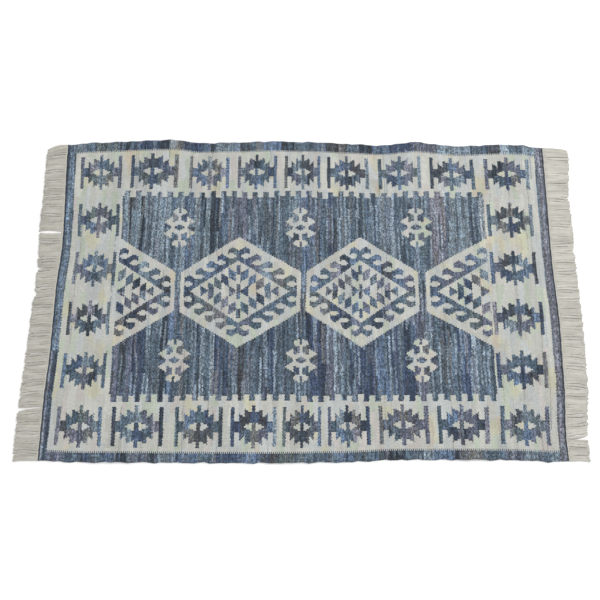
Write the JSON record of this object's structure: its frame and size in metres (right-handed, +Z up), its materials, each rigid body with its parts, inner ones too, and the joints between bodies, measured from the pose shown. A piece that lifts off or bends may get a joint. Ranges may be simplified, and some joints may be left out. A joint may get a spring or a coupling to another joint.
{
  "type": "denim rug",
  "caption": "Flat-woven rectangular rug of recycled denim and cream cotton, lying flat, with a cotton fringe along each short end.",
  "frame": {"origin": "on the floor under the middle of the rug, fringe included", "axes": "+X along the warp, from the left fringed end to the right one; +Y across the rug, from the near selvedge to the far one; +Z up off the floor"},
  "size_m": [1.9963, 1.233, 0.011],
  "materials": {
    "denim_weave": "matt hand-woven denim strips with cream cotton pattern",
    "cotton_fringe": "matt twisted natural cotton"
  },
  "bodies": {
    "root": {"cloth": "denim_weave", "fringe_left": "cotton_fringe", "fringe_right": "cotton_fringe"}
  },
  "joints": []
}
